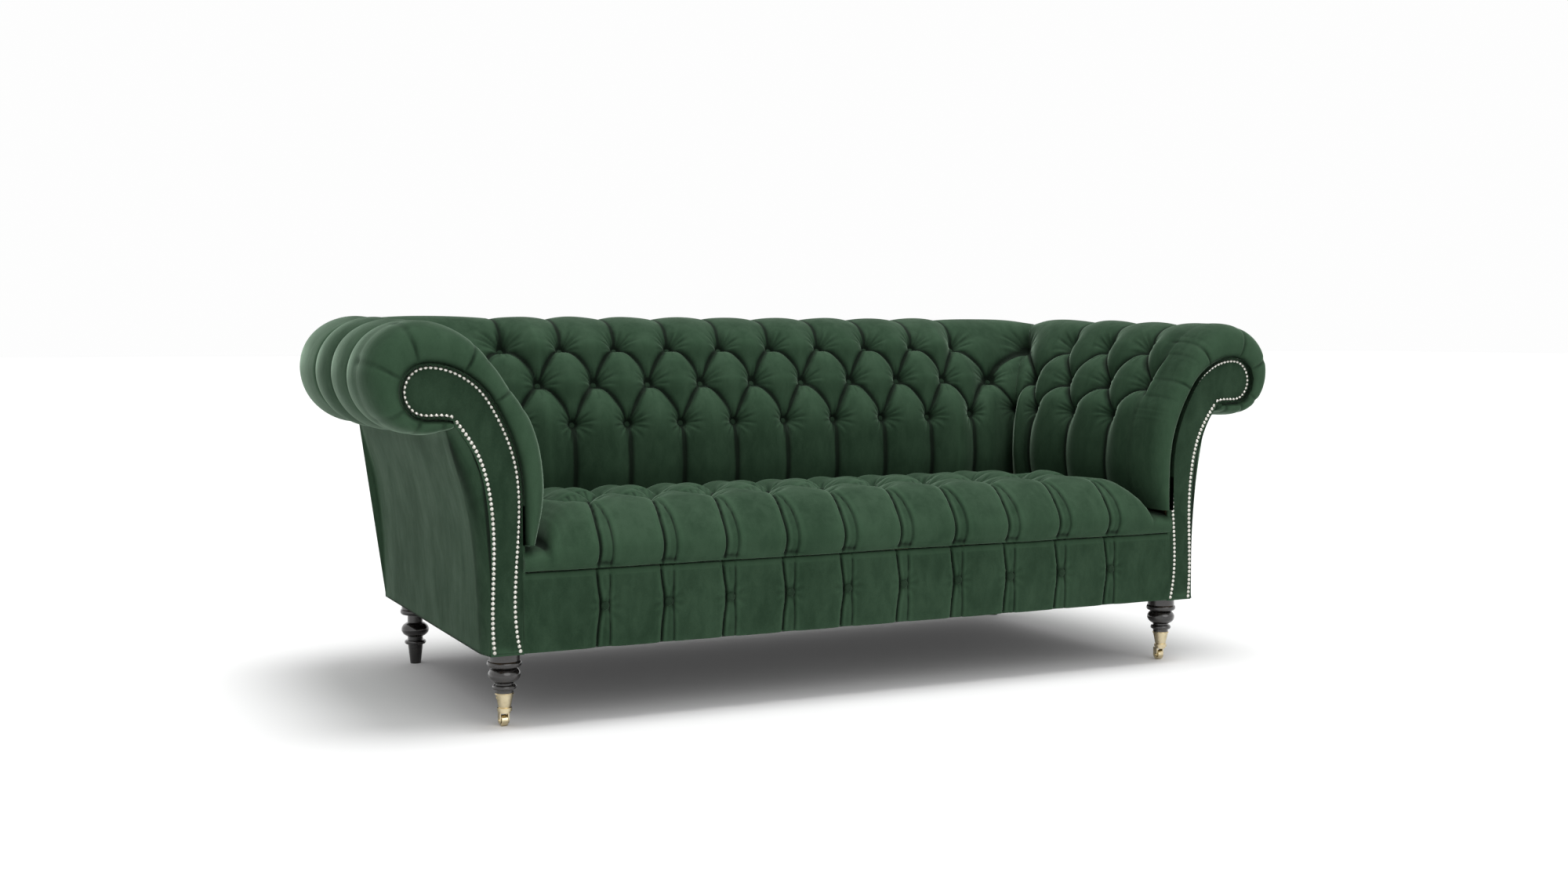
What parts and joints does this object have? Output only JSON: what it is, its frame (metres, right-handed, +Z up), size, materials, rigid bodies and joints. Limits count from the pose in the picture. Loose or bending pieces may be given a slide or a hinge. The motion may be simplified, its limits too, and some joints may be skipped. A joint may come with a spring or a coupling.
{
  "type": "chesterfield sofa",
  "caption": "Low three-seat sofa with a rolled back and arms at one height, deep-buttoned velvet, a pleated buttoned seat, nailed scroll facings, turned legs and front castors.",
  "frame": {"origin": "on the floor below the middle of the sofa's bounding box", "axes": "+X along the sofa to the sitter's left, -Y to the front, +Z up"},
  "size_m": [2.089, 0.938, 0.7909],
  "materials": {
    "frame_timber": "matte",
    "leg_lacquer": "gloss",
    "zinc_steel": "satin",
    "castor_brass": "satin",
    "nail_metal": "polished",
    "spring_steel": "satin",
    "hessian": "matte",
    "dust_cloth": "matte",
    "foam": "matte",
    "velvet": "matte"
  },
  "bodies": {
    "sofa": {"back_buttons": "velvet", "back_pad": "velvet", "back_scroll_rail": "frame_timber", "back_stay_rail": "frame_timber", "back_webbing": "hessian", "border_buttons": "velvet", "castor_cup_pins": "castor_brass", "corner_block_screws": "zinc_steel", "corner_blocks": "frame_timber", "dust_cover": "dust_cloth", "front_border": "velvet", "front_seat_rail": "frame_timber", "left_arm_buttons": "velvet", "left_arm_facing": "velvet", "left_arm_front_board": "frame_timber", "left_arm_nails": "nail_metal", "left_arm_pad": "velvet", "left_arm_rear_board": "frame_timber", "left_arm_scroll_rail": "frame_timber", "left_arm_stay_rail": "frame_timber", "left_back_post": "frame_timber", "left_back_tie": "frame_timber", "left_castor_cup": "castor_brass", "left_cross_rail": "frame_timber", "left_front_leg": "leg_lacquer", "left_outside_arm_cover": "velvet", "left_rear_leg": "leg_lacquer", "left_side_rail": "frame_timber", "leg_studs": "zinc_steel", "outside_back_cover": "velvet", "rear_seat_rail": "frame_timber", "right_arm_buttons": "velvet", "right_arm_facing": "velvet", "right_arm_front_board": "frame_timber", "right_arm_nails": "nail_metal", "right_arm_pad": "velvet", "right_arm_rear_board": "frame_timber", "right_arm_scroll_rail": "frame_timber", "right_arm_stay_rail": "frame_timber", "right_back_post": "frame_timber", "right_back_tie": "frame_timber", "right_castor_cup": "castor_brass", "right_cross_rail": "frame_timber", "right_front_leg": "leg_lacquer", "right_outside_arm_cover": "velvet", "right_rear_leg": "leg_lacquer", "right_side_rail": "frame_timber", "seat_buttons": "velvet", "seat_core": "foam", "seat_hessian": "hessian", "seat_pad": "velvet", "seat_springs": "spring_steel", "spring_clips": "spring_steel", "threaded_inserts": "zinc_steel"},
    "left_fork": {"left_castor_yoke": "castor_brass", "left_castor_axle": "castor_brass"},
    "left_wheel": {"left_castor_wheel": "castor_brass"},
    "right_fork": {"right_castor_yoke": "castor_brass", "right_castor_axle": "castor_brass"},
    "right_wheel": {"right_castor_wheel": "castor_brass"}
  },
  "joints": [
    {"name": "left_castor_swivel", "type": "hinge", "parent": "sofa", "child": "left_fork", "pos_m": [-0.7784, -0.3925, 0.031], "axis": [0, 0, 1], "continuous": true},
    {"name": "left_castor_roll", "type": "hinge", "parent": "left_fork", "child": "left_wheel", "pos_m": [-0.7784, -0.3855, 0.011], "axis": [1, 0, 0], "continuous": true},
    {"name": "right_castor_swivel", "type": "hinge", "parent": "sofa", "child": "right_fork", "pos_m": [0.7784, -0.3925, 0.031], "axis": [0, 0, 1], "continuous": true},
    {"name": "right_castor_roll", "type": "hinge", "parent": "right_fork", "child": "right_wheel", "pos_m": [0.7784, -0.3855, 0.011], "axis": [1, 0, 0], "continuous": true}
  ]
}
